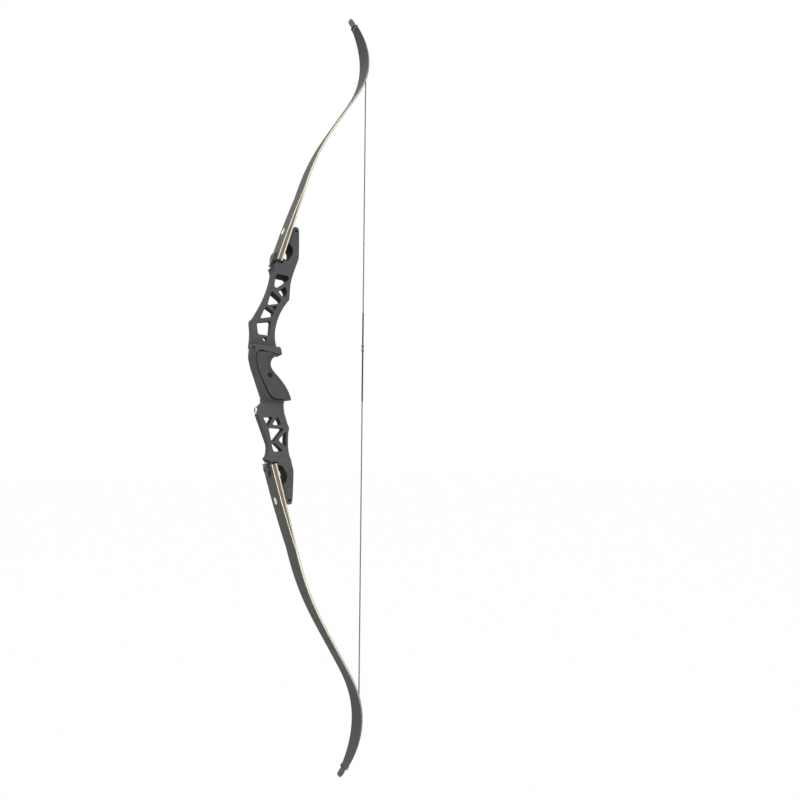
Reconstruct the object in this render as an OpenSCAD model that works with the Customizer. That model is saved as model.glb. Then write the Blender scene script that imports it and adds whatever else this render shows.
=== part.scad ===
// A takedown recurve bow, strung: machined riser, two laminated limbs, string.
// X runs from the target to the archer, Z runs up and Y across.
// The camera's side, with the sight window, is -Y. Lengths are in millimetres.

/* [Riser] */
// Half width over the cheeks of the limb pockets
ear_half = 17; // [15.5:0.5:19]
// Half width of the open frame below the grip
web_half = 9.5; // [9:0.5:11]
// How far the sight window face is cut past the centre plane
window_cut = 4; // [3:0.5:6]
// Far side of the upper frame from the centre plane
far_half = 17; // [15.5:0.5:19]
// Half width of the riser beside the grip
rail_half = 14; // [13:0.5:15]
// How far the front edges beside the grip are bevelled
rail_bevel = 5.5; // [3:0.5:6.5]
// Half thickness of the metal plate inside the grip
plate_half = 8; // [6:0.5:9]

/* [Grip] */
// Half width of the grip at the throat
throat_half = 14; // [12:0.5:16]
// Half width of the grip at the heel of the palm
heel_half = 17.5; // [16:0.5:20]

/* [Limbs] */
// Width of a limb at the butt
limb_width = 47; // [44:0.5:49]
// Width of a limb at the tip
tip_width = 10; // [9:0.5:12]
// Thickness of each glass face
glass = 0.8; // [0.7:0.1:1]
// Thickness of each core at the butt
core_root = 1.5; // [1.3:0.1:1.8]
// Thickness of each core at the tip
core_tip = 0.7; // [0.6:0.1:1]
// Thickness of the wedge at the butt
wedge_root = 5.4; // [4.9:0.1:5.9]
// Angle of the limb in its pocket, from the vertical
seat = 15.5; // [14.5:0.5:16.5]
// Forward bend of the strung limb
bend = 14; // [12:0.5:16]
// Backward curve of the recurve
recurve = 83; // [75:1:88]
// Length of the limb from its bolt to its tip
reach = 558; // [540:2:580]

/* [Fittings] */
// Radius of the limb bolt's thread
bolt_r = 3.97; // [3.5:0.01:4.2]
// Radius of the limb bolt's head
head_r = 11; // [10:0.5:12]
// Radius of the dovetail disc under a limb
disc_r = 6.5; // [6:0.1:6.8]
// Radius of the stabiliser bushing
bush_r = 6.4; // [5.6:0.1:6.6]
// Core radius of the threaded mounting holes
tap_r = 3.45; // [3:0.05:3.6]

/* [String] */
// Radius of the string
string_r = 1.2; // [1:0.1:1.4]
// Radius of the string where it is served
serving_r = 1.5; // [1.4:0.1:1.8]
// Height of the nocking point above the throat
nock_z = 42; // [36:1:48]

/* [Hidden] */
gap = 0.3;
run = 0.05;
butt = -8;
step_cut = 2.2;
foot = [10.9, 177.6];
flex = 145;
lift = reach - 48;
nock_s = reach - 15;
wedge_end = flex - 8;
leave = lift - 50;
bush_z = -83.5;
plunger = [-8.9, 38.3];
grip_hole = [-4.4, -25.2];
dove = 54.3;
bush_x = -23.4;
bush_l = 22;
pin_u = 57.3;
pin_n = -8;
slot_r = bolt_r + 0.6;
cheek = limb_width / 2 + 0.4;

// A quadratic curve from a to b, drawn towards c
function q(a, c, b, n = 6) =
  [for (i = [0:n]) let (t = i / n) a * (1 - t) * (1 - t) + c * 2 * t * (1 - t) + b * t * t];

// A closed outline with every corner eased over the length d
function soft(p, d, n = 3) =
  [for (i = [0:len(p) - 1])
    let (o = p[i], a = p[(i + len(p) - 1) % len(p)], b = p[(i + 1) % len(p)])
    each q(o + (a - o) * min(0.45, d / norm(a - o)), o, o + (b - o) * min(0.45, d / norm(b - o)), n)];

function back(p) = [for (i = [len(p) - 1:-1:0]) p[i]];
function flip(p) = [for (v = p) [v[0], -v[1]]];

module side(h) rotate([90, 0, 0]) linear_extrude(height = h, center = true) children();
module front(h) rotate([90, 0, 90]) linear_extrude(height = h, center = true) children();
module lower() mirror([0, 0, 1]) children();

// The limb's belly line, by its slope from the vertical
function ease(u) = let (v = max(0, min(1, u))) v * v * (3 - 2 * v);
function slope(s) = seat + bend * ease((s - 125) / 175) - recurve * ease((s - 358) / 265);
step = 2;
function trail(n, k = 0, p = foot) = k >= n ? [] :
  concat([p], trail(n, k + 1, p + step * [sin(slope((k + 0.5) * step)), cos(slope((k + 0.5) * step))]));
belly = trail(reach / step + 2);
function at(s) = s <= 0 ? foot + s * [sin(seat), cos(seat)] :
  let (k = min(floor(s / step), len(belly) - 2), f = s / step - k)
  belly[k] * (1 - f) + belly[k + 1] * f;
function off(s, n) = at(s) + n * [-cos(slope(s)), sin(slope(s))];

// Thickness of the layers, and the height of each joint line above the belly
function core(s) = core_root - (core_root - core_tip) * max(s, 0) / reach;
function wedge(s) = wedge_root * max(0, 1 - pow((s - butt) / (wedge_end + 1 - butt), 2));
function height(k, s) = k == 0 ? 0 : k == 1 ? glass : k == 2 ? glass + core(s) :
  k == 3 ? glass + core(s) + wedge(s) : k == 4 ? glass + 2 * core(s) + wedge(s) :
  k == 5 ? 2 * glass + 2 * core(s) + wedge(s) : 2 * glass + 2 * core(s) + 1;

wedge_s = concat([butt, 0], [for (s = [20:20:wedge_end - 10]) s], [wedge_end]);
butt_s = concat(wedge_s, [flex - gap / 2]);
limb_s = [for (i = [0:44]) flex + gap / 2 + (reach - flex - gap / 2) * i / 44];
tip_s = [for (i = [42:44]) limb_s[i]];

string_x = max([for (p = belly) p[0]]) + string_r + gap;
function on_belly(s) = off(s, -string_r - gap);

// Places in a pocket: u along the limb from the bolt, n out of its belly face
module pocket(u = 0, n = 0) translate([foot[0], 0, foot[1]]) rotate([0, seat, 0])
  translate([-n, 0, u]) rotate([0, -90, 0]) children();
function local(u, n) = foot + u * [sin(seat), cos(seat)] + n * [-cos(seat), sin(seat)];

// Half width of a limb, as an outline in Y and Z
function half(s) = s < 92 ? limb_width / 2 :
  limb_width / 2 - (limb_width - tip_width) / 2 * pow((s - 92) / (reach - 92), 5.5);
nock_half = half(nock_s) - 3.2;
function plan_side() = concat(
  [[limb_width / 2, local(butt, 0)[1] - 30], [limb_width / 2, at(92)[1]]],
  [for (s = [200:50:400]) [half(s), at(s)[1]]],
  [for (s = [425:15:nock_s - 12]) [half(s), at(s)[1]]],
  q([half(nock_s - 5), at(nock_s - 5)[1]], [nock_half - 1.5, at(nock_s - 1)[1]],
    [tip_width / 2 + 0.8, at(nock_s + 5)[1]], 6),
  q([tip_width / 2 + 0.8, at(nock_s + 6)[1]], [tip_width / 2 - 0.4, at(reach)[1] + 2],
    [1.2, at(reach)[1] + 2.2], 5));
module plan() front(1000) polygon(concat(plan_side(), back([for (p = plan_side()) [-p[0], p[1]]])));

module layer(s, low, high) intersection() {
  side(60) polygon(concat([for (a = s) off(a, height(low, a))],
    back([for (a = s) off(a, height(high, a))])));
  plan();
}
module butt_layer(s, low, high) difference() {
  layer(s, low, high);
  pocket(0, -20) cylinder(r = slot_r, h = 60);
  pocket(butt - 2, -20) translate([0, -slot_r, 0]) cube([2 - butt, 2 * slot_r, 60]);
  pocket(dove, -20) cylinder(r = 4, h = 60);
}

// Riser outline
function pocket_edge() = concat(
  q([-0.7, 152], [-0.4, 157.5], [-2.6, 161], 4),
  q([-3, 161.6], [-4.8, 163.2], [-2.6, 164.8], 3),
  q([3.4, 171.8], [5.4, 174.4], [8, 174.2], 4),
  q([16, 173.9], [20, 174], [21.6, 176.2], 3),
  q([23.6, 179.2], [28.8, 186.6], [28.8, 191.5], 5),
  q([28.8, 192.4], [29, 198.4], [26, 201.8], 4),
  q([23.4, 204.2], [19.3, 205.6], [17.9, 209], 5),
  q([28.6, 234.8], [29.8, 237.8], [32.4, 237.8], 3),
  q([35, 237.7], [38.6, 237.4], [38.9, 232], 3),
  [[39.4, 222], [39.7, 206]],
  q([39.8, 188], [39.9, 184], [39.2, 180.5], 3));
upper_target = concat(
  q([-33.9, 25.3], [-31.1, 45], [-34.2, 62]),
  q([-34.2, 63.6], [-34.8, 68.2], [-31.9, 69.8], 3),
  q([-30.2, 71.4], [-6, 114], [-0.9, 150], 12));
upper_belly = concat(
  q([38.6, 178.5], [30, 154], [28.9, 136], 8),
  q([29.5, 113.8], [29.8, 110.4], [28.3, 108.8], 3),
  q([28, 108.4], [9.5, 82], [8, 51], 12),
  q([8, 50], [8, 38], [11.4, 26.6]),
  q([11.8, 25.6], [14.2, 19.4], [15.6, 12.4], 4),
  [[15.4, 10.4]]);
plate = concat([[11, 18]], q([11, 15], [-5, 7], [-6, -5]), q([-6, -6], [-6, -16], [4, -26]),
  q([5, -27], [21, -44], [22, -66]), [[22, -68]]);
lower_belly = concat(
  q([23, -66], [22.2, -88], [31.6, -108.6], 8),
  q([31.8, -109], [33.2, -111], [32.6, -114], 3),
  q([31.8, -120], [30, -150], [38.6, -178.5], 8));
lower_target = concat(
  q([-0.7, -150.5], [-0.4, -146], [-1.7, -139], 3),
  q([-18.2, -97.5], [-21.8, -88.5], [-21.8, -84], 4),
  q([-21.4, -82], [-21.4, -78.4], [-18.4, -75.8], 3),
  q([-16, -73.8], [-11.4, -71], [-12.3, -64], 4),
  q([-31, -13.2], [-35.6, 2], [-35.3, 6], 4),
  q([-34.9, 15], [-34.2, 20], [-34.1, 24.9], 3));
outline = concat(upper_target, pocket_edge(), upper_belly, [[24, 0], [28, -50]], lower_belly,
  back(flip(pocket_edge())), lower_target);

upper_windows = [
  [[2.2, 150.2], [24.8, 149.4], [25.2, 143.2], [5.2, 126.6], [0.8, 129]],
  [[20.8, 132], [25.1, 121], [19.4, 112.2], [8.2, 121.8]],
  [[-2.5, 121.4], [16.3, 108.8], [12.7, 102], [-7.9, 96.2]],
  [[-10.3, 94.6], [4.6, 86.4], [2.2, 78], [-18.7, 72.2]],
  [[0.2, 71], [-1.2, 45], [-21, 45], [-24, 65.4]]];
lower_windows = [
  [[-12.3, -94.4], [4.7, -94.2], [-3.8, -110.2]],
  [[12.3, -92.4], [19.9, -107.2], [3.5, -107.4]],
  [[-2.6, -111.6], [23.7, -112.8], [7, -135.2], [2.8, -133.2]],
  [[28, -116.6], [28, -143], [14.8, -132.2]],
  [[3.5, -137.4], [8.8, -136.6], [23.3, -150.4], [6.9, -151.6]]];
blind_window = [[0.4, 95.4], [9.4, 97.4], [4.8, 87.8]];

module widths() front(200) polygon(concat(
  [[-ear_half, -250], [ear_half, -250], [ear_half, -166]],
  q([ear_half - 1, -163], [web_half + 1, -158], [web_half, -142]),
  [[web_half, -92], [web_half - step_cut, -87], [web_half - step_cut, -71]],
  q([web_half, -68], [rail_half, -64], [rail_half, -59], 4),
  q([rail_half, 20], [far_half, 30], [far_half, 46], 4),
  [[far_half, 148], [ear_half, 166], [ear_half, 250], [-ear_half, 250], [-ear_half, 167]],
  q([-ear_half + 1, 163], [window_cut - 1, 100], [window_cut, 46], 10),
  q([window_cut, 27.4], [window_cut, 24.4], [window_cut - 3, 24.4], 4),
  q([3 - rail_half, 24.4], [-rail_half, 24.4], [-rail_half, 21.4], 3),
  q([-rail_half, -59], [-rail_half, -64], [-web_half, -68], 4),
  [[step_cut - web_half, -71], [step_cut - web_half, -87], [-web_half, -92]],
  q([-web_half, -142], [-web_half - 1, -158], [1 - ear_half, -163]),
  [[-ear_half, -166]]));

// The grip fills the riser's cut-out around the thin plate
grip_seam = concat([[60, 5.7], [-19, 15.6]], q([-21, 15.6], [-29.2, 12], [-28.4, 0], 5),
  [[-25, -16], [-16.8, -34.7], [-8.6, -51]], q([-7.6, -53], [-2, -65.4], [10, -65.4], 6),
  [[60, -65.4]]);
module grip_zone() side(80) polygon(grip_seam);
module plate_body() side(2 * plate_half) polygon(concat([[-60, 18]], plate, [[-60, -68]]));

grip_line = concat(q([17.2, 13], [0.5, 8], [0, -4], 8), q([0, -5], [0, -13], [12, -24]),
  q([13, -25], [31, -44], [36.2, -62], 8), [[36.3, -65.4]]);
function grip_half(z) = throat_half + (z > -4 ? 1.5 * ease((z + 4) / 19) :
  (heel_half - throat_half) * ease((-4 - z) / 50));
ring_n = 16;
function grip_ring(p) = let (w = grip_half(p[1]), d = 15) concat([[-45, -w, p[1]]],
  [for (i = [0:ring_n]) let (a = -90 + 180 * i / ring_n)
    [p[0] - d + d * pow(max(0, cos(a)), 0.8), w * sign(sin(a)) * pow(abs(sin(a)), 0.8), p[1]]],
  [[-45, w, p[1]]]);
module skin(rings) {
  n = len(rings[0]);
  m = len(rings);
  polyhedron(points = [for (r = rings) each r], faces = concat(
    [[for (i = [0:n - 1]) i]],
    [for (j = [0:m - 2]) for (i = [0:n - 1])
      [j * n + i, (j + 1) * n + i, (j + 1) * n + (i + 1) % n, j * n + (i + 1) % n]],
    [[for (i = [n - 1:-1:0]) (m - 1) * n + i]]));
}

// A round cord along the points p, in steps of eight sides
function unit(v) = v / norm(v);
function cord_rings(p, r) = [for (i = [0:len(p) - 1])
  let (t = unit(p[min(i + 1, len(p) - 1)] - p[max(i - 1, 0)]),
    g = abs(t[0]) > 0.9 ? [0, 0, 1] : [1, 0, 0], u = unit(cross(t, g)), v = cross(t, u))
  [for (k = [0:7]) p[i] + r * (cos(k * 45) * u + sin(k * 45) * v)]];
module cord(p, r) skin([for (g = cord_rings(p, r)) back(g)]);
function place(s, y, n) = let (p = off(s, n)) [p[0], y, p[1]];

// The bevelled front edges beside the grip, as chords of the outline
rail_line = [[-34.1, 20], [-35.4, 5], [-31, -13.2], [-12.3, -64]];
module bevel(a, b) for (m = [0, 1]) mirror([0, m, 0])
  translate([b[0], 0, b[1]]) rotate([0, atan2(a[0] - b[0], a[1] - b[1]), 0])
  linear_extrude(height = norm(a - b)) polygon([[-9, rail_half - rail_bevel - 9],
    [rail_bevel + 9, rail_half + 9], [-9, rail_half + 9]]);

module riser() color("#26282c") difference() {
  union() {
    difference() {
      intersection() {
        side(80) polygon(outline);
        widths();
      }
      for (w = concat(upper_windows, lower_windows)) side(100) polygon(soft(w, 3.6));
      difference() {
        grip_zone();
        plate_body();
      }
      for (m = [0, 1]) mirror([0, 0, m]) side(2 * cheek) polygon([local(butt - 2, 30),
        local(butt - 2, -2.5), local(20, -2.5), local(20, 0), local(80, 0), local(80, 30)]);
      translate([0, window_cut, 0]) rotate([90, 0, 0]) linear_extrude(height = 40)
        polygon(soft(blind_window, 1.2));
      for (k = [0:len(rail_line) - 2]) bevel(rail_line[k], rail_line[k + 1]);
    }
    for (m = [0, 1]) mirror([0, 0, m]) pocket(0, -18) cylinder(r = 7, h = 15.5);
  }
  for (m = [0, 1]) mirror([0, 0, m]) {
    pocket(0, -40) cylinder(r = bolt_r + run, h = 60);
    pocket(dove, -5) translate([-8, -disc_r - 0.5, 0]) cube([40, 2 * disc_r + 1, 10]);
    pocket(dove, -7.5) cylinder(r = 2.3, h = 10);
    pocket(pin_u, pin_n) rotate([90, 0, 0]) cylinder(r = 2.2, h = 80, center = true);
  }
  translate([-60, 0, bush_z]) rotate([0, 90, 0]) cylinder(r = bush_r, h = 60 + bush_x + bush_l);
  translate([plunger[0], 40, plunger[1]]) rotate([90, 0, 0]) cylinder(r = 5.5, h = 60);
  at_grip_hole() cylinder(r = 2.5, h = 60, center = true);
}

module at_grip_hole() translate([grip_hole[0], 0, grip_hole[1]]) rotate([90, 0, 0]) children();
module grip() color("#1c1c1e") difference() {
  intersection() {
    skin([for (p = grip_line) back(grip_ring(p))]);
    grip_zone();
  }
  plate_body();
  at_grip_hole() cylinder(r = 2.5, h = 60, center = true);
  for (m = [0, 1]) mirror([0, m, 0]) at_grip_hole() translate([0, 0, 13]) cylinder(r = 4.3, h = 20);
}
module grip_screws() color("#222326") for (m = [0, 1]) mirror([0, m, 0])
  at_grip_hole() difference() {
    union() {
      translate([0, 0, 1]) cylinder(r = 2.5, h = 13);
      translate([0, 0, 13]) cylinder(r = 4.2, h = 2.2);
    }
    translate([0, 0, 13.4]) cylinder(r = 1.7, h = 5, $fn = 6);
  }
module stabiliser_bushing() color("#c9ccd0") translate([bush_x, 0, bush_z]) rotate([0, 90, 0])
  difference() {
    cylinder(r = bush_r, h = bush_l);
    translate([0, 0, -1]) cylinder(r = tap_r, h = 40);
  }
module plunger_bushing() color("#2b2d30")
  translate([plunger[0], window_cut, plunger[1]]) rotate([-90, 0, 0])
  difference() {
    cylinder(r = 5.45, h = far_half - window_cut - 0.4);
    translate([0, 0, -1]) cylinder(r = tap_r, h = 40);
  }

top = height(5, max(butt, 1 - head_r)) + run;
washer_h = 1.5;
module bolt_washer() color("#1a1a1c") pocket(0, top) difference() {
  cylinder(r = head_r - 1, h = washer_h);
  translate([0, 0, -1]) cylinder(r = bolt_r + run, h = 10);
}
module limb_bolt() color("#202124") pocket(0, top + washer_h) difference() {
  union() {
    translate([0, 0, -26]) cylinder(r = bolt_r, h = 27);
    intersection() {
      cylinder(r = head_r, h = 5);
      translate([0, 0, 5 - 19.5]) sphere(r = 19.5);
    }
  }
  translate([0, 0, 1.4]) cylinder(r = 4.2, h = 10, $fn = 6);
}
module lock_screw() color("#4a4c50") pocket(0, -27) difference() {
  cylinder(r = bolt_r, h = 8);
  translate([0, 0, -1]) cylinder(r = 2.3, h = 5, $fn = 6);
}
module alignment_pins() color("#3a3c40") for (m = [0, 1]) mirror([0, m, 0])
  pocket(pin_u, pin_n) rotate([90, 0, 0]) translate([0, 0, 6.2]) difference() {
    cylinder(r = 2.1, h = ear_half - 6.8);
    translate([0, 0, ear_half - 8.8]) cylinder(r = 1.4, h = 5, $fn = 6);
  }
module dovetail() color("#c6c9cd") difference() {
  union() {
    pocket(dove, -4.5) cylinder(r = disc_r, h = 4.5);
    pocket(dove, -1) cylinder(r = 4, h = height(5, dove) - 0.2);
  }
  pocket(dove, -3.7) cylinder(r = 2.65, h = 30);
  pocket(dove, -6) cylinder(r = 1.85, h = 10);
}
module dovetail_screw() color("#d4d6d9") {
  pocket(dove, 5) cylinder(r = 2.65, h = height(5, dove) - 4.4);
  pocket(dove, height(5, dove - 6.2) + run) difference() {
    intersection() {
      cylinder(r = 6.2, h = 2.2);
      translate([0, 0, 2.2 - 14.4]) sphere(r = 14.4);
    }
    translate([0, 0, 0.7]) cylinder(r = 2.5, h = 4, $fn = 6);
  }
}
module detent_button() color("#b9bcc0") {
  pocket(dove, -6.6) cylinder(r = 1.8, h = 4);
  pocket(dove, -3.65) cylinder(r = 2.6, h = 1.8);
}
module detent_spring() color("#9da0a4")
  cord([for (i = [0:66]) let (a = i * 30, c = local(dove, 0), n = -1.5 + 6.2 * i / 66,
    u = 2 * cos(a)) let (p = c + u * [sin(seat), cos(seat)] + n * [-cos(seat), sin(seat)])
    [p[0], 2 * sin(a), p[1]]], 0.25);

module tip_overlay() color("#1b1b1d") layer(tip_s, 5, 6);

loop_n = height(6, nock_s) + string_r + gap;
loop_y = nock_half + string_r + gap + 0.8;
loop_half = concat(
  [for (i = [0:6]) let (f = i / 6) [lift + 3 + (nock_s - lift - 3) * f, 1.1 + (loop_y - 1.1) * ease(f), -string_r - gap]],
  [for (i = [1:5]) [nock_s, loop_y + 0.8, -string_r - gap + (loop_n + string_r + gap) * i / 6]],
  [for (i = [0:5]) [nock_s + 1, loop_y * (1 - i / 5), loop_n + 0.3 * sin(i * 36)]]);
module string_loop() color("#101012") {
  for (m = [0, 1]) mirror([0, m, 0])
    cord([for (p = loop_half) place(p[0], p[1], p[2])], string_r - 0.2);
}
function hang(z) = concat(
  [for (s = [lift - 0.4:-5:leave + 6]) let (p = on_belly(s)) [p[0], 0, p[1]]],
  [for (i = [0:3]) [string_x, 0, at(leave)[1] * (3 - i) / 3 + z * i / 3]]);
module upper_string() color("#16161a") cord(hang(nock_z + 68), string_r);
module lower_string() color("#16161a") lower() cord(hang(100 - nock_z), string_r);
module upper_centre_serving() color("#0e0e10") translate([string_x, 0, nock_z + 8 + gap])
  cylinder(r = serving_r, h = 60 - gap);
module lower_centre_serving() color("#0e0e10") translate([string_x, 0, nock_z - 100])
  cylinder(r = serving_r, h = 92 - gap);
module nocking_serving() color("#2a2a2e") translate([string_x, 0, nock_z - 8])
  cylinder(r = serving_r, h = 16);
module nock_locators() color("#c9a227") for (z = [-5.5, 3])
  translate([string_x, 0, nock_z + z]) difference() {
    cylinder(r = serving_r + 1.2, h = 2.5);
    translate([0, 0, -1]) cylinder(r = serving_r, h = 5);
  }

riser();
grip();
grip_screws();
stabiliser_bushing();
plunger_bushing();
bolt_washer();  // upper_bolt_washer
limb_bolt();  // upper_limb_bolt
lock_screw();  // upper_lock_screw
alignment_pins();  // upper_alignment_pins
color("#1d1e20") butt_layer(butt_s, 4, 5);  // upper_butt_back_glass
color("#d9b98a") butt_layer(butt_s, 3, 4);  // upper_butt_back_core
color("#4b3424") butt_layer(wedge_s, 2, 3);  // upper_butt_wedge
color("#d9b98a") butt_layer(butt_s, 1, 2);  // upper_butt_belly_core
color("#b8a67e") butt_layer(butt_s, 0, 1);  // upper_butt_belly_glass
color("#1d1e20") layer(limb_s, 4, 5);  // upper_back_glass
color("#d9b98a") layer(limb_s, 2, 4);  // upper_back_core
color("#d9b98a") layer(limb_s, 1, 2);  // upper_belly_core
color("#b8a67e") layer(limb_s, 0, 1);  // upper_belly_glass
tip_overlay();  // upper_tip_overlay
dovetail();  // upper_dovetail
dovetail_screw();  // upper_dovetail_screw
detent_button();  // upper_detent_button
detent_spring();  // upper_detent_spring
string_loop();  // upper_string_loop
upper_string();
upper_centre_serving();
lower() bolt_washer();  // lower_bolt_washer
lower() limb_bolt();  // lower_limb_bolt
lower() lock_screw();  // lower_lock_screw
lower() alignment_pins();  // lower_alignment_pins
color("#1d1e20") lower() butt_layer(butt_s, 4, 5);  // lower_butt_back_glass
color("#d9b98a") lower() butt_layer(butt_s, 3, 4);  // lower_butt_back_core
color("#4b3424") lower() butt_layer(wedge_s, 2, 3);  // lower_butt_wedge
color("#d9b98a") lower() butt_layer(butt_s, 1, 2);  // lower_butt_belly_core
color("#b8a67e") lower() butt_layer(butt_s, 0, 1);  // lower_butt_belly_glass
color("#1d1e20") lower() layer(limb_s, 4, 5);  // lower_back_glass
color("#d9b98a") lower() layer(limb_s, 2, 4);  // lower_back_core
color("#d9b98a") lower() layer(limb_s, 1, 2);  // lower_belly_core
color("#b8a67e") lower() layer(limb_s, 0, 1);  // lower_belly_glass
lower() tip_overlay();  // lower_tip_overlay
lower() dovetail();  // lower_dovetail
lower() dovetail_screw();  // lower_dovetail_screw
lower() detent_button();  // lower_detent_button
lower() detent_spring();  // lower_detent_spring
lower() string_loop();  // lower_string_loop
lower_string();
lower_centre_serving();
nocking_serving();
nock_locators();
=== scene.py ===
# %% [markdown]
# # A strung recurve bow
# A takedown recurve bow is a machined frame, the riser, with a grip at its
# throat, two laminated limbs bolted to it and one string. The solids come
# packed from the CAD model and could be shown as they are, but a limb has to
# bend and a cord has to show its strands. So the machined parts keep their
# solids and get a finish, and the limbs, the string and the grip are built
# again in finer steps, in the same place and to the same sizes.

# %% Load the solids
import math

import bmesh
import bpy
import numpy as np
from mathutils import Matrix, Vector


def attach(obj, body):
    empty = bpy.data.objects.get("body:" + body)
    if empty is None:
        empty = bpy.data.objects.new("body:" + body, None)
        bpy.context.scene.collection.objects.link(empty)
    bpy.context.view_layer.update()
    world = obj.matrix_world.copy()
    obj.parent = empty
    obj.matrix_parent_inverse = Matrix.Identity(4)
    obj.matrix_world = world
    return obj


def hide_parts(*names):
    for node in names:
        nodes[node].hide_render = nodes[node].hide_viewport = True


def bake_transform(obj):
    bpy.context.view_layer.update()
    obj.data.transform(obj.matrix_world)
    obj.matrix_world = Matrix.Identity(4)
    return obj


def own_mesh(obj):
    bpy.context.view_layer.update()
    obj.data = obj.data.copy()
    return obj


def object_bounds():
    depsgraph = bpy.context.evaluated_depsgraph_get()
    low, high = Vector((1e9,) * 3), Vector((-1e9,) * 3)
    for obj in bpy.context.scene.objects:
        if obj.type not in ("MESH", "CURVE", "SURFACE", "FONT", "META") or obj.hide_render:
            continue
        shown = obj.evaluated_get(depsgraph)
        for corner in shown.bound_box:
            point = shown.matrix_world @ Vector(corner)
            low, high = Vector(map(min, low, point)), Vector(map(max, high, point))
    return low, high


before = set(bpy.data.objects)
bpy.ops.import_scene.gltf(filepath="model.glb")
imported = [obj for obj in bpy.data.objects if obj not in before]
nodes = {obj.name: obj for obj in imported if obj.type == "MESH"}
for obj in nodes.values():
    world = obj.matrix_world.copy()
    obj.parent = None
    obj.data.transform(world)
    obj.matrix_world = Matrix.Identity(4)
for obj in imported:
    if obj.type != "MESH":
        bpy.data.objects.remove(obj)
cad_low, cad_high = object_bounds()
scene = bpy.context.scene
MM = 0.001
SIDES = {"upper": 1, "lower": -1}
print("solids from", tuple(round(v, 4) for v in cad_low), "to", tuple(round(v, 4) for v in cad_high))

# %% [markdown]
# ## Camera
# The photograph is taken from a little below the grip, from the target's side,
# where the sight window opens. A camera can be placed by eye, but a bow is long
# and thin and shows every degree. So the place, the angles and the lens were
# fitted to the outline of the bow.

# %% Camera
PICTURE, FOCAL, SENSOR = 800, 528.1, 36.0
CAMERA_AT, CAMERA_TURN = (-0.2730, -0.8629, -0.1595), (31.56, 6.17, 0.19)


def look(azimuth, pitch, roll):
    """The camera's right, up and back vectors from three angles in degrees.

    It looks along the azimuth from Y towards X, raised by the pitch, and is then rolled.
    """
    a, p, r = (math.radians(v) for v in (azimuth, pitch, roll))
    ahead = np.array([math.sin(a) * math.cos(p), math.cos(a) * math.cos(p), math.sin(p)])
    right = np.array([math.cos(a), -math.sin(a), 0.0])
    up = np.cross(right, ahead)
    right, up = (
        right * math.cos(r) + up * math.sin(r),
        up * math.cos(r) - right * math.sin(r),
    )
    return np.stack([right, up, -ahead], axis=1)


camera_data = bpy.data.cameras.new("camera")
camera = bpy.data.objects.new("camera", camera_data)
scene.collection.objects.link(camera)
camera_data.sensor_width = SENSOR
camera_data.lens = SENSOR * FOCAL / PICTURE
place = np.eye(4)
place[:3, :3] = look(*CAMERA_TURN)
place[:3, 3] = CAMERA_AT
camera.matrix_world = Matrix(place.tolist())
scene.camera = camera
print("camera at", CAMERA_AT, "with a lens of", round(camera_data.lens, 1), "mm")

# %% [markdown]
# ## Finishes
# Anodised metal, lacquer and moulded plastic are all black here. They differ
# in how even the colour is, how sharp the highlights are and how fine the
# grain is. A picture could be wrapped round each piece, but it would show its
# seams. Noise in the object's own space has none: one cloud breaks up the
# colour and the gloss, and a finer one makes the bump.

# %% A shader node in one call
def node(tree, kind, inputs=None, **settings):
    """Adds a shader node. An input is linked if it is given a socket, and otherwise set."""
    made = tree.nodes.new(f"ShaderNode{kind}")
    for key, value in settings.items():
        setattr(made, key, value)
    for key, value in (inputs or {}).items():
        if isinstance(value, bpy.types.NodeSocket):
            tree.links.new(value, made.inputs[key])
        else:
            made.inputs[key].default_value = value
    return made


# %% A finish
def material(name, colour, roughness, metallic=0.0, coat=0.0, mottle=0.12, mottle_size=0.02,
             grain=0.0, grain_size=0.0006, stretch=(1, 1, 1), shine=0.5):
    """A surface with mottled colour, uneven gloss and fine grain. Sizes are in metres.

    The colour runs from (1 - mottle) to (1 + mottle) times its value and the roughness
    from 0.06 below to 0.06 above its own, both with one noise. A finer noise is the
    height of the bump, a third of the grain's size.
    """
    made = bpy.data.materials.new(name)
    made.use_nodes = True
    tree = made.node_tree
    shader = tree.nodes["Principled BSDF"]
    shader.inputs["Metallic"].default_value = metallic
    shader.inputs["Coat Weight"].default_value = coat
    shader.inputs["Coat Roughness"].default_value = 0.25
    shader.inputs["Specular IOR Level"].default_value = shine
    where = node(tree, "TexCoord")
    scaled = node(tree, "Mapping", {"Vector": where.outputs["Object"], "Scale": stretch})
    cloud = node(tree, "TexNoise", {"Vector": scaled.outputs[0], "Scale": 1 / mottle_size, "Detail": 6})
    ramp = node(tree, "ValToRGB", {0: cloud.outputs["Fac"]})
    for stop, at_value, share in zip(ramp.color_ramp.elements, (0.3, 0.7), (1 - mottle, 1 + mottle)):
        stop.position = at_value
        stop.color = (*[min(1, c * share) for c in colour], 1)
    gloss = node(tree, "MapRange", {
        "Value": cloud.outputs["Fac"],
        "To Min": roughness - 0.06,
        "To Max": roughness + 0.06,
    })
    tree.links.new(ramp.outputs[0], shader.inputs["Base Color"])
    tree.links.new(gloss.outputs[0], shader.inputs["Roughness"])
    if grain:
        fine = node(tree, "TexNoise", {"Vector": scaled.outputs[0], "Scale": 1 / grain_size, "Detail": 3})
        bump = node(tree, "Bump", {
            "Height": fine.outputs["Fac"],
            "Strength": grain,
            "Distance": grain_size / 3,
        })
        tree.links.new(bump.outputs[0], shader.inputs["Normal"])
    return made


# %% [markdown]
# ## Mesh tools
# Every new piece is a closed skin over rings of points, in millimetres. A limb
# is a row of cross sections, a cord is a row of circles, and a block is two
# copies of one outline. So one tool makes them all, from one array of points.

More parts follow.
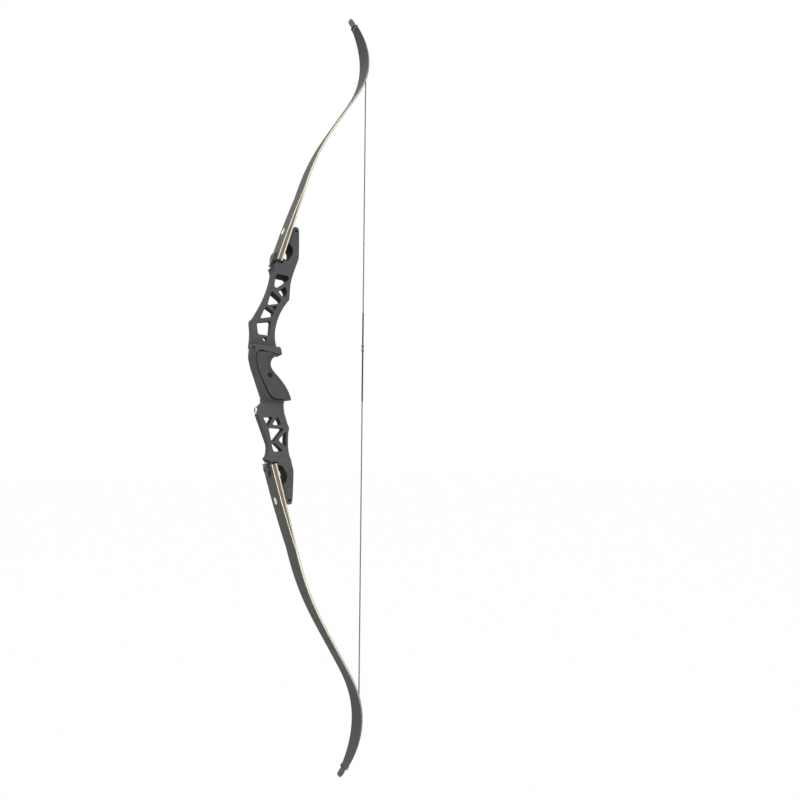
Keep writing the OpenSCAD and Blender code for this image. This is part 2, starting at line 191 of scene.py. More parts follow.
# %% Closed skins
def shade(mesh, angle=35):
    """Turns the faces outwards and shades them smooth, up to the angle between two in degrees."""
    bm = bmesh.new()
    bm.from_mesh(mesh)
    bmesh.ops.recalc_face_normals(bm, faces=bm.faces)
    for face in bm.faces:
        face.smooth = True
    for edge in bm.edges:
        if len(edge.link_faces) == 2:
            edge.smooth = edge.calc_face_angle(0) < math.radians(angle)
    bm.to_mesh(mesh)
    bm.free()


def new_object(name, mesh):
    """An object for a mesh, at the origin of the scene."""
    made = bpy.data.objects.new(name, mesh)
    scene.collection.objects.link(made)
    return made


def skin(name, rings, surface):
    """A closed skin over rings with equal numbers of points, in millimetres.

    Point i of ring j, its neighbour on the ring and the same two of the next ring
    make a face. The first and last rings are closed flat.
    """
    rings = np.asarray(rings, float)
    m, n = rings.shape[:2]
    j, i = np.mgrid[0:m - 1, 0:n]
    beside = (i + 1) % n
    corners = np.stack([j * n + i, j * n + beside, (j + 1) * n + beside, (j + 1) * n + i], axis=-1)
    ends = [list(range(n))[::-1], list(range((m - 1) * n, m * n))]
    mesh = bpy.data.meshes.new(name)
    mesh.from_pydata((rings.reshape(-1, 3) * MM).tolist(), [], corners.reshape(-1, 4).tolist() + ends)
    mesh.materials.append(surface)
    shade(mesh)
    return new_object(name, mesh)


def prism(name, outline, low, high, surface):
    """An outline in X and Z, copied to two places on Y."""
    x, z = np.asarray(outline, float).T
    return skin(name, [np.c_[x, np.full(len(x), y), z] for y in (low, high)], surface)


# %% Cords
def sweep(name, path, radius, surface, sides=20, strands=0, twist=0.0, depth=0.0):
    """A cord along a path: circles across the path's direction, each worked out from two vectors.

    With strands it is a rope. Its radius dips by the depth that many times round, and the
    dips turn by the twist, in degrees a millimetre.
    """
    path = np.asarray(path, float)
    ahead = np.gradient(path, axis=0)
    ahead /= np.linalg.norm(ahead, axis=1)[:, None]
    across = np.cross(ahead, (0, 1, 0))
    flat = np.linalg.norm(across, axis=1) < 0.3
    across[flat] = np.cross(ahead[flat], (0, 0, 1))
    across /= np.linalg.norm(across, axis=1)[:, None]
    other = np.cross(ahead, across)
    far = np.r_[0, np.cumsum(np.linalg.norm(np.diff(path, axis=0), axis=1))]
    a = np.linspace(0, 2 * math.pi, sides, endpoint=False)
    r = radius * (1 - depth * (0.5 - 0.5 * np.cos(strands * a + np.radians(twist * far)[:, None])))
    rings = (
        path[:, None]
        + (r * np.cos(a))[..., None] * across[:, None]
        + (r * np.sin(a))[..., None] * other[:, None]
    )
    return skin(name, rings, surface)


# %% Modifiers
def freeze(made):
    """Applies the modifiers of a piece."""
    seen = made.evaluated_get(bpy.context.evaluated_depsgraph_get())
    mesh = bpy.data.meshes.new_from_object(seen)
    made.modifiers.clear()
    made.data = mesh
    shade(mesh)


def cut(made, tools, how="DIFFERENCE"):
    """Cuts a piece by one or more tools, or keeps what lies inside them."""
    for tool in tools:
        step = made.modifiers.new("cut", "BOOLEAN")
        step.operation = how
        step.solver = "EXACT"
        step.object = tool
    freeze(made)


def rounded(made, width, segments=2, angle=35):
    """Rounds the edges that turn by more than the angle. The width is in millimetres."""
    step = made.modifiers.new("rounded", "BEVEL")
    step.width = width * MM
    step.segments = segments
    step.limit_method = "ANGLE"
    step.angle_limit = math.radians(angle)


def drop(objects):
    """Removes tools that have done their work."""
    for thing in objects:
        bpy.data.objects.remove(thing)


# %% Curves
def curve(a, c, b, n):
    """A quadratic curve from a to b in n steps, drawn towards c.

    Each point mixes the three: (1 - t) squared of a, 2t(1 - t) of c and t squared of b.
    """
    t = np.linspace(0, 1, n + 1)[:, None]
    a, c, b = (np.asarray(v, float) for v in (a, c, b))
    return a * (1 - t) ** 2 + c * 2 * t * (1 - t) + b * t * t


def ease(u):
    """A smooth step from 0 to 1: three times the square, less twice the cube."""
    v = np.clip(u, 0, 1)
    return v * v * (3 - 2 * v)


# %% [markdown]
# ## Limbs
# A limb is glued up from thin strips on a curved form. Its belly could be drawn
# as a spline, but the real one is a plan of slopes: straight in the pocket,
# bent forward where the limb works, then curved back to the tip. So the belly
# line adds up small steps along that slope. The sizes are those of the CAD
# model, in millimetres and degrees.

# %% The belly line
SEAT, BEND, RECURVE, REACH, BUTT = 15.5, 14.0, 83.0, 558.0, -8.0
BEND_FROM, BEND_LONG, RECURVE_FROM, RECURVE_LONG = 125, 175, 358, 265
FOOT = np.array([10.9, 177.6])
STEP = 2.0


def slope(s):
    """The lean from the vertical at the distance s, in radians.

    It is the seat's lean, with the bend eased in and the recurve eased off it.
    """
    bend = BEND * ease((s - BEND_FROM) / BEND_LONG)
    recurve = RECURVE * ease((s - RECURVE_FROM) / RECURVE_LONG)
    return np.radians(SEAT + bend - recurve)


walk = np.arange(0, REACH + 3 * STEP, STEP)
middle = slope(walk[:-1] + STEP / 2)
steps = STEP * np.cumsum(np.c_[np.sin(middle), np.cos(middle)], axis=0)
trail = FOOT + np.r_[[[0, 0]], steps]


def at(s):
    """The belly line at the distance s from the bolt, as X and Z. It is straight below the bolt."""
    s = np.asarray(s, float)
    a = math.radians(SEAT)
    x = np.interp(s, walk, trail[:, 0]) + np.minimum(s, 0) * math.sin(a)
    z = np.interp(s, walk, trail[:, 1]) + np.minimum(s, 0) * math.cos(a)
    return np.stack([x, z], axis=-1)


def off(s, n):
    """A point n off the belly line, at right angles to it, towards the limb's back."""
    s = np.asarray(s, float)
    return at(s) + np.asarray(n)[..., None] * np.stack([-np.cos(slope(s)), np.sin(slope(s))], axis=-1)


print("tip of the belly line at", at(REACH).round(1), "mm")

# %% [markdown]
# The limb is thickest at its butt, where a dark wedge lies between two pale
# cores. The wedge fades out before the limb starts to bend. The width holds
# for most of the length, then narrows late to the tip, where two notches hold
# the string's loop and a round nose ends the limb.

# %% Thickness and width
LIMB_WIDTH, TIP_WIDTH, STRAIGHT = 47.0, 10.0, 92.0
GLASS, CORE_ROOT, CORE_TIP, WEDGE_ROOT = 0.8, 1.5, 0.7, 5.4
WEDGE_END, NOCK_S = 138.0, REACH - 15


def joints(s):
    """Heights above the belly of the faces between the five layers, and of the back.

    Each layer's thickness is added to those below. The cores thin evenly, and the wedge
    thins as one less the square of the way to its end.
    """
    s = np.asarray(s, float)
    glass = np.full(s.shape, GLASS)
    core = CORE_ROOT - (CORE_ROOT - CORE_TIP) * np.maximum(s, 0) / REACH
    wedge = WEDGE_ROOT * np.maximum(0, 1 - ((s - BUTT) / (WEDGE_END - BUTT)) ** 2)
    return np.cumsum([0 * glass, glass, core, wedge, core, glass], axis=0)


def taper(s):
    """Half the limb's width without its notches: it narrows with the power 5.5 of the way."""
    along = np.clip((np.asarray(s, float) - STRAIGHT) / (REACH - STRAIGHT), 0, 1)
    return LIMB_WIDTH / 2 - (LIMB_WIDTH - TIP_WIDTH) / 2 * along ** 5.5


NOTCH_DEEP, NOTCH_LONG, NOSE_FLARE = 3.2, 10, 0.8
NOCK_HALF = float(taper(NOCK_S)) - NOTCH_DEEP
NOSE_HALF = TIP_WIDTH / 2 + NOSE_FLARE
NOTCH_S, NOSE_S = NOCK_S - NOTCH_LONG / 2, NOCK_S + NOTCH_LONG / 2
notch = curve((NOTCH_S, taper(NOTCH_S)), (NOCK_S - 1, NOCK_HALF - 1.5), (NOSE_S, NOSE_HALF), 16)
nose = curve((NOSE_S + 1, NOSE_HALF), (REACH, NOSE_HALF - 0.6), (REACH, 1.0), 16)
side_line = np.r_[notch, nose]


def half_width(s):
    """Half the limb's width: the taper, then the line of the notch and the nose."""
    return np.where(s < NOTCH_S, taper(s), np.interp(s, side_line[:, 0], side_line[:, 1]))


print("thickness at the butt", joints(BUTT)[-1].round(2), "mm, at the tip", joints(REACH)[-1].round(2))

# %% [markdown]
# Back and belly are glass laid over wood. The cores are pale wood with a long
# grain, and their sawn edges are the fine cream lines along the limb. The belly
# and the cores are made darker towards the tips. The colour could be painted on
# by hand, but a share that grows with the height does the same for both limbs.

# %% The limbs' finishes
ALONG = (1, 1, 0.06)
TIP_DARK, DARK_FROM, DARK_TO = (0.06, 0.065, 0.045), 0.46, 0.66


def darker_tips(made, dark, start, end):
    """Mixes in a dark colour towards the tips: none at the height start, all of it at the end."""
    tree = made.node_tree
    colour = tree.nodes["Principled BSDF"].inputs["Base Color"]
    parts = node(tree, "SeparateXYZ", {0: tree.nodes["Texture Coordinate"].outputs["Object"]})
    height = node(tree, "Math", {0: parts.outputs["Z"]}, operation="ABSOLUTE")
    share = node(tree, "MapRange", {"Value": height.outputs[0], "From Min": start, "From Max": end})
    plain = colour.links[0].from_socket
    # A Mix node has its colours at the inputs 6 and 7, and its mixed colour at the output 2.
    mix = node(tree, "Mix", {0: share.outputs[0], 6: plain, 7: (*dark, 1)}, data_type="RGBA")
    tree.links.new(mix.outputs[2], colour)


limb_back = material("limb_back", (0.118, 0.115, 0.119), 0.6, mottle_size=0.03, grain=0.04,
                     grain_size=0.0012, stretch=ALONG, shine=0.08)
limb_belly = material("limb_belly", (0.38, 0.33, 0.24), 0.3, coat=0.3, grain=0.05,
                      grain_size=0.0012, stretch=ALONG)
pale_core = material("pale_core", (0.82, 0.76, 0.55), 0.5, mottle=0.08, mottle_size=0.006,
                     grain=0.2, stretch=ALONG)
dark_core = material("dark_core", (0.12, 0.10, 0.075), 0.5, mottle=0.25, mottle_size=0.004,
                     grain=0.2, stretch=ALONG)
for surface in (limb_belly, pale_core):
    darker_tips(surface, TIP_DARK, DARK_FROM, DARK_TO)
print("belly and cores darken from", DARK_FROM, "to", DARK_TO, "m above and below the grip")

# %% [markdown]
# Each layer is its own piece, because that is how a limb is made and how its
# edge shows. A whole limb sliced by planes would give the same lines, but a
# ring per station is exact and keeps every layer closed.

# %% Cross sections
EASED, ACROSS = 0.35, 8
# Steps of 4 mm along the limb are fine enough, but the nose rounds in within its last mm.
stations = np.unique(np.r_[
    np.arange(BUTT, 500, 4.0),
    np.arange(500, REACH - 6, 1.0),
    np.arange(REACH - 6, REACH - 1, 0.5),
    np.arange(REACH - 1, REACH + 0.1, 0.2),
])


def face_across(level, half, soft, inward):
    """One face of a layer, as Y and height: a row of points, and one more down each eased edge."""
    y = np.linspace(-1, 1, ACROSS) * (half - soft)[:, None]
    n = np.repeat(level[:, None], ACROSS, axis=1)
    if soft.any():
        y = np.c_[-half, y, half]
        n = np.c_[level + inward * soft, n, level + inward * soft]
    return y, n


def layer_rings(number):
    """Cross sections of one layer, from its belly side round to its back side.

    Both faces lie at the heights of the joints. The limb's outer edges are eased.
    """
    s = stations[stations < WEDGE_END - 1] if number == 2 else stations
    low, high = joints(s)[number:number + 2]
    half = half_width(s)
    soft = np.minimum(EASED, half / 3)
    low_y, low_n = face_across(low, half, soft * (number == 0), 1)
    high_y, high_n = face_across(high, half, soft * (number == 4), -1)
    y = np.c_[low_y, high_y[:, ::-1]]
    spot = off(s[:, None], np.c_[low_n, high_n[:, ::-1]])
    return np.stack([spot[..., 0], y, spot[..., 1]], axis=-1)


print(len(stations), "stations along each limb")

# %% [markdown]
# The butt has an open slot for the bolt and a hole for the dovetail. They could
# be part of every ring, but two simple tools cut all five layers alike. The
# sawn end is then lacquered dark.

# %% The butt
DOVE, DOVE_R, SLOT_R, SLOT_END = 54.3, 4.0, 4.57, -16.0
TOOL_LOW, TOOL_HIGH = -20, 30


def pocket(u, side):
    """A frame on a limb's seat, u from the bolt: its X runs up the limb, its Z out of the back."""
    a = math.radians(SEAT)
    x, z = at(u) * MM
    turned = Matrix((
        (math.sin(a), 0, -math.cos(a), x),
        (0, 1, 0, 0),
        (math.cos(a), 0, math.sin(a), z),
        (0, 0, 0, 1),
    ))
    return Matrix.Diagonal((1, 1, side, 1)) @ turned


def butt_tools(side):
    """Two blocks across the limb: a slot with a half round end, and a round hole."""
    turn = np.linspace(-math.pi / 2, math.pi / 2, 25)
    around = np.linspace(0, 2 * math.pi, 48, endpoint=False)
    slot = np.r_[
        [[SLOT_END, -SLOT_R]],
        SLOT_R * np.c_[np.cos(turn), np.sin(turn)],
        [[SLOT_END, SLOT_R]],
    ]
    hole = (DOVE, 0) + DOVE_R * np.c_[np.cos(around), np.sin(around)]
    made = []
    for outline in (slot, hole):
        ends = [np.c_[outline, np.full(len(outline), n)] for n in (TOOL_LOW, TOOL_HIGH)]
        tool = skin("tool", ends, dark_core)
        tool.data.transform(pocket(0, side))
        shade(tool.data)
        made.append(tool)
    return made


def seal_butt(strip, side):
    """Paints the faces whose centres lie on the plane of the sawn end."""
    strip.data.materials.append(limb_back)
    faces = strip.data.polygons
    centres = np.empty(3 * len(faces))
    faces.foreach_get("center", centres)
    index = np.empty(len(faces), np.int32)
    faces.foreach_get("material_index", index)
    x, _, z = (centres.reshape(-1, 3) * (1, 1, side)).T
    a = math.radians(SEAT)
    butt_x, butt_z = at(BUTT) * MM
    along = (x - butt_x) * math.sin(a) + (z - butt_z) * math.cos(a)
    index[along < 0.05 * MM] = 1
    faces.foreach_set("material_index", index)


# %% [markdown]
# In the simulation a limb turns about one hinge, but a real one bends. Here each
# layer is built whole, cut at its butt, sealed at its sawn end and set in place
# of the CAD pieces it stands for.

# %% The layers of both limbs
LAYERS = {
    "belly_glass": (limb_belly, "clear_glass"),
    "belly_core": (pale_core, "maple"),
    "wedge": (dark_core, "dark_wood"),
    "back_core": (pale_core, "maple"),
    "back_glass": (limb_back, "black_glass"),
}
for name, side in SIDES.items():
    flip = np.array((1, 1, side))
    tools = butt_tools(side)
    for number, (layer, (surface, slot)) in enumerate(LAYERS.items()):
        strip = skin(f"{name}_limb_{layer}", layer_rings(number) * flip, surface)
        cut(strip, tools)
        seal_butt(strip, side)
        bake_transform(strip)
        beyond = () if layer == "wedge" else (f"{name}_{layer}",)
        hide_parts(f"{name}_butt_{layer}", *beyond)
        print(strip.name, "has", len(strip.data.polygons), "faces")
    drop(tools)

# %% [markdown]
# ## String
# The string is a bundle of waxed strands, twisted. It lies along the belly of
# each recurve, from its loop in the tip's notches to where it lifts off, and
# runs straight from there. A texture of twisted strands would look flat against
# the white ground, so the strands are in the mesh.

# %% The string's finishes
def wound(name, colour, pitch):
    """A served cord: thread wound close, so that bands across Z, one to the pitch, are its bump."""
    made = material(name, colour, 0.5)
    tree = made.node_tree
    wave = node(tree, "TexWave", {
        "Vector": tree.nodes["Texture Coordinate"].outputs["Object"],
        "Scale": 2 * math.pi / 20 / pitch,
    }, bands_direction="Z")
    bump = node(tree, "Bump", {"Height": wave.outputs["Fac"], "Strength": 0.8, "Distance": 0.0002})
    tree.links.new(bump.outputs[0], tree.nodes["Principled BSDF"].inputs["Normal"])
    return made


THREAD = 0.0006
string_black = material("string_black", (0.16, 0.165, 0.165), 0.55, mottle=0.3,
                        mottle_size=0.003, grain=0.4, grain_size=0.0003)
serving_black = wound("serving_black", (0.03, 0.031, 0.031), THREAD)
loop_black = wound("loop_black", (0.075, 0.077, 0.077), THREAD)
nock_serving = wound("nock_serving", (0.05, 0.05, 0.054), THREAD)
print("serving thread of", THREAD * 1000, "mm")

# %% The string's path
STRING_R, GAP, CORD_STEP = 1.2, 0.3, 3.0
LIFT = REACH - 48
LEAVE = LIFT - 50
HALF_ENDS = {"upper": 110, "lower": 58}
string_x = trail[:, 0].max() + STRING_R + GAP


def string_path(end_z):
    """One half of the string: off the belly by its radius, then straight to the height end_z."""
    lying = off(np.arange(LIFT - 0.4, LEAVE + CORD_STEP, -CORD_STEP), -STRING_R - GAP)
    down = np.arange(at(LEAVE)[1], end_z, -CORD_STEP)
    straight = np.c_[np.full(len(down) + 1, string_x), np.r_[down, end_z]]
    x, z = np.r_[lying, straight].T
    return np.c_[x, 0 * x, z]


LOOP_FROM, LOOP_APART, ARCH = LIFT + 3, 1.1, 0.3


def loop_path(side_y):
    """One arm of the loop: out along the belly, through the notch and over the back.

    Its place across eases from beside the other arm to outside the notch. Its height then
    rises evenly to over the back, where it goes in to the middle under half a sine wave.
    """
    wide = NOCK_HALF + STRING_R + GAP
    over = joints(NOCK_S)[-1] + 1 + STRING_R + GAP
    under = -STRING_R - GAP
    f = np.linspace(0, 1, 13)
    to_notch = np.c_[
        LOOP_FROM + (NOCK_S - LOOP_FROM) * f,
        LOOP_APART + (wide - LOOP_APART) * ease(f),
        under + 0 * f,
    ]
    rise, turn = f[2:-1, None], f[1:, None]
    through = (NOCK_S, wide, under) + (0, 0, over - under) * rise
    across = (NOCK_S + 1, wide, over) + (0, -wide, 0) * turn + (0, 0, ARCH) * np.sin(math.pi * turn)
    s, y, n = np.r_[to_notch, through, across].T
    spot = off(s, n)
    return np.c_[spot[:, 0], side_y * y, spot[:, 1]]


print("the string lies on the belly for", LIFT - LEAVE, "mm below its loop")

# %% String and loops
for name, side in SIDES.items():
    flip = np.array([1, 1, side])
    half = sweep(f"{name}_string_half", string_path(HALF_ENDS[name]) * flip, STRING_R, string_black,
                 sides=24, strands=6, twist=-90.0, depth=0.22)
    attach(half, f"{name}_string")
    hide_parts(f"{name}_string")
    for arm, y in (("near", -1), ("far", 1)):
        loop = sweep(f"{name}_loop_{arm}", loop_path(y) * flip, STRING_R - 0.2, loop_black)
        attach(loop, f"{name}_limb")
        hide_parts(f"{name}_string_loop")
    print(half.name, "runs down to", HALF_ENDS[name], "mm from the middle")

# %% [markdown]
# ## Riser
# The riser is milled from a block of aluminium and anodised. The CAD solid has
# its true shape, but its edges are knife sharp, and a real one's are broken so
# that they catch the light. A bevel does that once the loose triangles are
# joined into flat faces. The finish has painted shade: it is darker where walls
# stand close, so that the windows look darker than the open faces.

# %% Riser
frame_black = material("frame_black", (0.09, 0.096, 0.092), 0.6, mottle=0.1,
                       mottle_size=0.05, grain=0.1, grain_size=0.0005, shine=0.04)


def painted_shade_in_hollows(made, reach, depth):
    """Paints shade into a finish where other surfaces stand within the reach, in metres.

    The colour is scaled by the share of the view that is open, but never by less than
    one less the depth.
    """
    tree = made.node_tree
    colour = tree.nodes["Principled BSDF"].inputs["Base Color"]
    openness = node(tree, "AmbientOcclusion", {"Distance": reach})
    share = node(tree, "MapRange", {"Value": openness.outputs["AO"], "To Min": 1 - depth})
    plain = colour.links[0].from_socket
    scaled = node(tree, "VectorMath", {0: plain, "Scale": share.outputs[0]}, operation="SCALE")
    tree.links.new(scaled.outputs[0], colour)


def clean_copy(name, source, surface):
    """A copy of a CAD node: corners closer than 2 microns joined, faces within 0.6 degrees merged."""
    mesh = nodes[source].data.copy()
    mesh.materials.clear()
    mesh.materials.append(surface)
    bm = bmesh.new()
    bm.from_mesh(mesh)
    bmesh.ops.remove_doubles(bm, verts=bm.verts, dist=0.002 * MM)
    bmesh.ops.dissolve_limit(bm, angle_limit=math.radians(0.6), verts=bm.verts, edges=bm.edges)
    bm.to_mesh(mesh)
    bm.free()
    return new_object(name, mesh)


# Painted shade: the riser's colour is darkened in its windows and wherever walls stand close.
painted_shade_in_hollows(frame_black, reach=0.03, depth=0.85)
riser = clean_copy("riser_body", "riser", frame_black)
rounded(riser, 0.9, angle=30)
freeze(riser)
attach(riser, "riser")
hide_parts("riser")
print("riser with", len(riser.data.polygons), "faces")

# %% [markdown]
# ## Grip
# The grip is moulded plastic that wraps the riser's thin plate from behind. Its
# CAD solid is faceted, so it is lofted again in finer rings: each height of the
# hand's line gets a squared oval. The oval runs on into the riser, and a prism
# with the outline of the seam then keeps what is grip, 1.2 mm short of the
# metal, so that the seam shows as a dark line.

# %% The grip's lines
THROAT_HALF, HEEL_HALF, PLATE_HALF, SEAM_GAP = 14.0, 17.5, 8.0, 1.2
OVAL_DEEP, OVAL_POWER, INSIDE = 15, 0.8, -45
grip_line = np.r_[
    curve((17.2, 13), (0.5, 8), (0, -4), 28),
    curve((0, -5), (0, -13), (12, -24), 16),
    curve((13, -25), (31, -44), (36.2, -62), 28),
    [[36.3, -65.0]],
]
seam = np.r_[
    [[60, 5.7 - SEAM_GAP]],
    [[-19 + SEAM_GAP, 15.6 - SEAM_GAP]],
    curve((-21 + SEAM_GAP, 15.6 - SEAM_GAP), (-29.2 + SEAM_GAP, 12), (-28.4 + SEAM_GAP, 0), 12),
    [[-25 + SEAM_GAP, -16], [-16.8 + SEAM_GAP, -34.7], [-8.6 + SEAM_GAP, -51]],
    curve((-7.6 + SEAM_GAP, -53), (-2 + SEAM_GAP, -65.4 + SEAM_GAP), (10, -65.4 + SEAM_GAP), 14),
    [[60, -65.4 + SEAM_GAP]],
]
plate_line = np.r_[
    [[-60, 18], [11, 18]],
    curve((11, 15), (-5, 7), (-6, -5), 8),
    curve((-6, -6), (-6, -16), (4, -26), 8),
    curve((5, -27), (21, -44), (22, -66), 8),
    [[22, -68], [-60, -68]],
]


def grip_half(z):
    """Half the grip's width at a height: the throat's, eased wider above and below it."""
    above = 1.5 * ease((z + 4) / 19)
    below = (HEEL_HALF - THROAT_HALF) * ease((-4 - z) / 50)
    return THROAT_HALF + np.where(z > -4, above, below)


def grip_rings(line):
    """Half ovals towards the archer, with powers of sine and cosine, open towards the riser."""
    x, z = line.T[:, :, None]
    half = grip_half(z)
    turn = np.linspace(-math.pi / 2, math.pi / 2, 49)
    out = np.maximum(np.cos(turn), 0) ** OVAL_POWER
    aside = np.sign(np.sin(turn)) * np.abs(np.sin(turn)) ** OVAL_POWER
    inside = np.full_like(x, INSIDE)
    rings_x = np.c_[inside, x - OVAL_DEEP + OVAL_DEEP * out, inside]
    rings_y = np.c_[-half, half * aside, half]
    return np.stack([rings_x, rings_y, np.broadcast_to(z, rings_x.shape)], axis=-1)


print("grip from", grip_line[0, 1], "to", grip_line[-1, 1], "mm")

# %% Grip
SCREW_AT, WELL_R, WELL_FLOOR, BEYOND = (-4.4, -25.2), 4.3, 13, 40
grip_black = material("grip_black", (0.056, 0.06, 0.058), 0.5, grain=0.3, grain_size=0.0008,
                      shine=0.15)
grip = skin("grip_shell", grip_rings(grip_line), grip_black)
keep = prism("tool", seam, -BEYOND, BEYOND, grip_black)
cut(grip, [keep], "INTERSECT")
plate = prism("tool", plate_line, -PLATE_HALF, PLATE_HALF, grip_black)
turn = np.linspace(0, 2 * math.pi, 40, endpoint=False)
well_line = SCREW_AT + WELL_R * np.c_[np.cos(turn), np.sin(turn)]
wells = [
    prism("tool", well_line, *ends, grip_black)
    for ends in ((-BEYOND, -WELL_FLOOR), (WELL_FLOOR, BEYOND))
]
cut(grip, [plate] + wells)
rounded(grip, 0.7, 3, 40)
freeze(grip)
drop([keep, plate] + wells)
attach(grip, "riser")
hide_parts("grip")
print("grip with", len(grip.data.polygons), "faces")

# %% [markdown]
# ## Fittings
# Bolts, screws, bushings and servings are turned or wound to simple shapes,
# which their CAD solids already have. Building them again would gain nothing.
# They get a metal or thread finish, and the turned ones a fine broken edge.

# %% Fittings
bolt_black = material("bolt_black", (0.01, 0.011, 0.012), 0.6, grain=0.1, grain_size=0.0004, shine=0.15)
knob_black = material("knob_black", (0.06, 0.064, 0.062), 0.42, 0.2, grain=0.1, grain_size=0.0004)
washer_black = material("washer_black", (0.015, 0.015, 0.016), 0.55, grain=0.2)
tip_black = material("tip_black", (0.015, 0.017, 0.017), 0.22, coat=0.5, grain=0.1)
bright_steel = material("bright_steel", (0.72, 0.71, 0.68), 0.3, 1.0, mottle=0.06,
                        mottle_size=0.002, grain=0.1, grain_size=0.0003)
dark_brass = material("dark_brass", (0.16, 0.13, 0.08), 0.45, 0.6, mottle=0.2, mottle_size=0.002)
FINISHES = {
    "grip_screws": bolt_black,
    "stabiliser_bushing": bright_steel,
    "plunger_bushing": frame_black,
    "nocking_serving": nock_serving,
    "nock_locators": dark_brass,
}
for name in SIDES:
    FINISHES |= {
        f"{name}_bolt_washer": washer_black,
        f"{name}_limb_bolt": knob_black,
        f"{name}_lock_screw": bolt_black,
        f"{name}_alignment_pins": bolt_black,
        f"{name}_tip_overlay": tip_black,
        f"{name}_dovetail": bright_steel,
        f"{name}_dovetail_screw": bright_steel,
        f"{name}_detent_button": bright_steel,
        f"{name}_centre_serving": serving_black,
    }
for name, surface in FINISHES.items():
    for place in nodes[name].material_slots:
        place.material = surface
    if "serving" not in name:
        rounded(nodes[name], 0.3)
print(len(FINISHES), "fittings finished")

# %% [markdown]
# ## Detent springs
# A small spring under each button snaps the limb into its pocket. It is wound
# again as a cord along a helix, on the seat at the dovetail, and goes with the riser.

# %% Detent springs
COIL_TURNS, COIL_R, WIRE_R = 5.5, 2.0, 0.25
COIL_LOW, COIL_LONG, COIL_SEAT = -1.5, 6.2, 4.95
share = np.linspace(0, 1, 151)
turn = 2 * math.pi * COIL_TURNS * share
coil = np.c_[COIL_R * np.cos(turn), COIL_R * np.sin(turn), COIL_LOW + COIL_LONG * share]
for name, side in SIDES.items():
    here = np.array(pocket(DOVE, side))
    along, foot = here[:3, 2], here[:3, 3]
    spring = sweep(f"{name}_spring", coil @ here[:3, :3].T + foot / MM, WIRE_R, bright_steel, sides=10)
    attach(spring, "riser")
    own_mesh(spring)
    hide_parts(f"{name}_detent_spring")

# %% [markdown]
# ## Studio
# The photograph has a white ground with no horizon. More light would make the
# ground white but wash out the black, so floor and surroundings are white only
# where the camera, a reflection or clear glass looks at them. For all other
# light they are a dim sky, brighter from above and from the far side.

# %% White where it is looked at
def looked_at(tree):
    """One where the camera, a reflection or clear glass looks, and zero for scattered light."""
    path = node(tree, "LightPath")
    total = path.outputs["Is Camera Ray"]
    for kind in ("Is Glossy Ray", "Is Transmission Ray"):
        total = node(tree, "Math", {0: total, 1: path.outputs[kind]}, operation="MAXIMUM").outputs[0]
    return total


# %% Floor
FLOOR_GREY, FLOOR_GLOW, FLOOR_SHARE, FLOOR_BELOW = 0.2, 1.02, 0.97, 0.002
white = bpy.data.materials.new("floor_white")
white.use_nodes = True
tree = white.node_tree
tree.nodes.clear()
diffuse = node(tree, "BsdfDiffuse", {"Color": (FLOOR_GREY, FLOOR_GREY, FLOOR_GREY, 1)})
glow = node(tree, "Emission", {"Strength": FLOOR_GLOW})
share = node(tree, "Math", {0: looked_at(tree), 1: FLOOR_SHARE}, operation="MULTIPLY")
mix = node(tree, "MixShader", {0: share.outputs[0], 1: diffuse.outputs[0], 2: glow.outputs[0]})
node(tree, "OutputMaterial", {0: mix.outputs[0]})

bpy.ops.mesh.primitive_plane_add(size=30, location=(0, 0, cad_low[2] - FLOOR_BELOW))
floor = bpy.context.object
floor.name = "floor"
floor.data.materials.append(white)
print("floor at", round(floor.location.z, 4), "m")

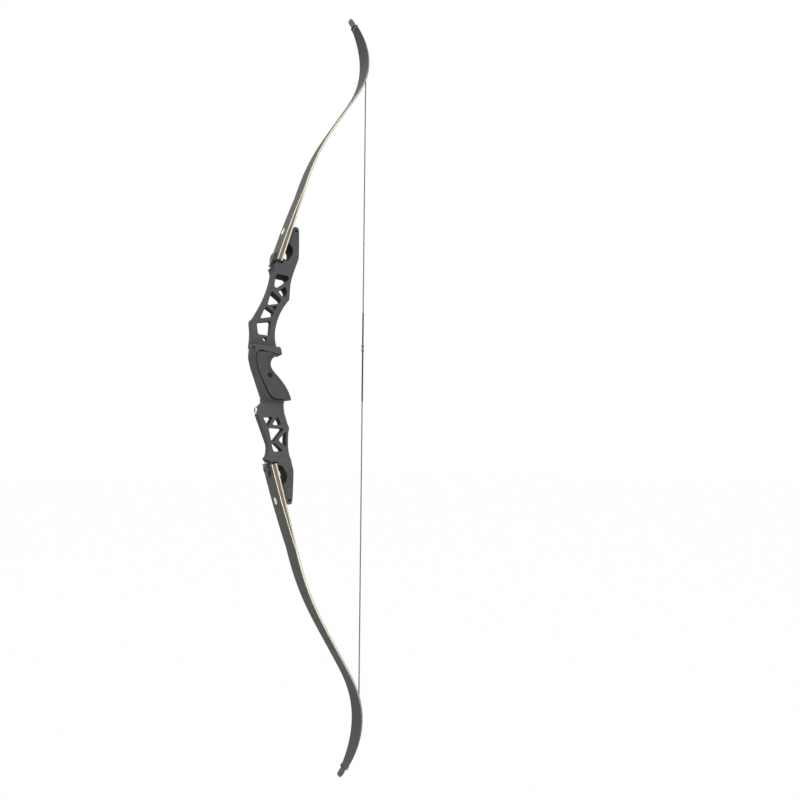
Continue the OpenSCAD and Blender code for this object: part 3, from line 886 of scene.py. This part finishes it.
# %% Surroundings
SKY = ((0.0, 0.03), (0.49, 0.05), (0.58, 0.62), (1.0, 1.0))
NEAR_SIDE, FAR_SIDE = 0.55, 1.2
world = bpy.data.worlds.new("world")
scene.world = world
world.use_nodes = True
tree = world.node_tree
parts = node(tree, "SeparateXYZ", {0: node(tree, "TexCoord").outputs["Generated"]})
lift = node(tree, "MapRange", {"Value": parts.outputs["Z"], "From Min": -1})
sky = node(tree, "ValToRGB", {0: lift.outputs[0]})
stops = sky.color_ramp.elements
for _ in SKY[2:]:
    stops.new(0.5)
for stop, (height, light) in zip(stops, SKY):
    stop.position = height
    stop.color = (light, light, light, 1)
near = node(tree, "MapRange", {
    "Value": parts.outputs["Y"],
    "From Min": -1,
    "To Min": NEAR_SIDE,
    "To Max": FAR_SIDE,
})
both = node(tree, "Math", {0: sky.outputs[0], 1: near.outputs[0]}, operation="MULTIPLY")
# The same node mixes numbers at its inputs 2 and 3.
seen = node(tree, "Mix", {0: looked_at(tree), 2: both.outputs[0], 3: 1.0})
tree.links.new(seen.outputs[0], tree.nodes["Background"].inputs["Strength"])
tree.nodes["Background"].inputs["Color"].default_value = (1, 1, 1, 1)
print("sky from", SKY[0][1], "below to", SKY[-1][1], "above")

# %% [markdown]
# Four soft lamps make the shapes read: a key from above, two from the sides and
# a wide fill from the camera's side. Small lamps would be cheaper, but a bow is
# photographed under large ones, which leave no hard edge on its curves.

# %% Lamps
def lamp(name, spot, size, power):
    """A square soft lamp that points at the grip, with its upper edge level."""
    data = bpy.data.lights.new(name, "AREA")
    data.size = size
    data.energy = power
    made = bpy.data.objects.new(name, data)
    scene.collection.objects.link(made)
    ahead = -np.array(spot, float)
    ahead /= np.linalg.norm(ahead)
    right = np.cross(ahead, (0, 0, 1))
    right /= np.linalg.norm(right)
    turned = np.eye(4)
    turned[:3, :3] = np.stack([right, np.cross(right, ahead), -ahead], axis=1)
    turned[:3, 3] = spot
    made.matrix_world = Matrix(turned.tolist())


lamp("key", (-0.6, 0.6, 2.2), 1.2, 8)
lamp("side", (1.3, -2.1, 0.6), 1.4, 20)
lamp("rim", (-1.4, 1.8, 0.8), 1.2, 8)
lamp("fill", (-0.55, -2.12, -0.25), 1.6, 36)
print(len(bpy.data.lights), "lamps")

# %% [markdown]
# ## Finish
# The colours are shown with the standard view transform. The pieces may not
# grow past the CAD model.

# %% Finish
scene.view_settings.view_transform = "Standard"
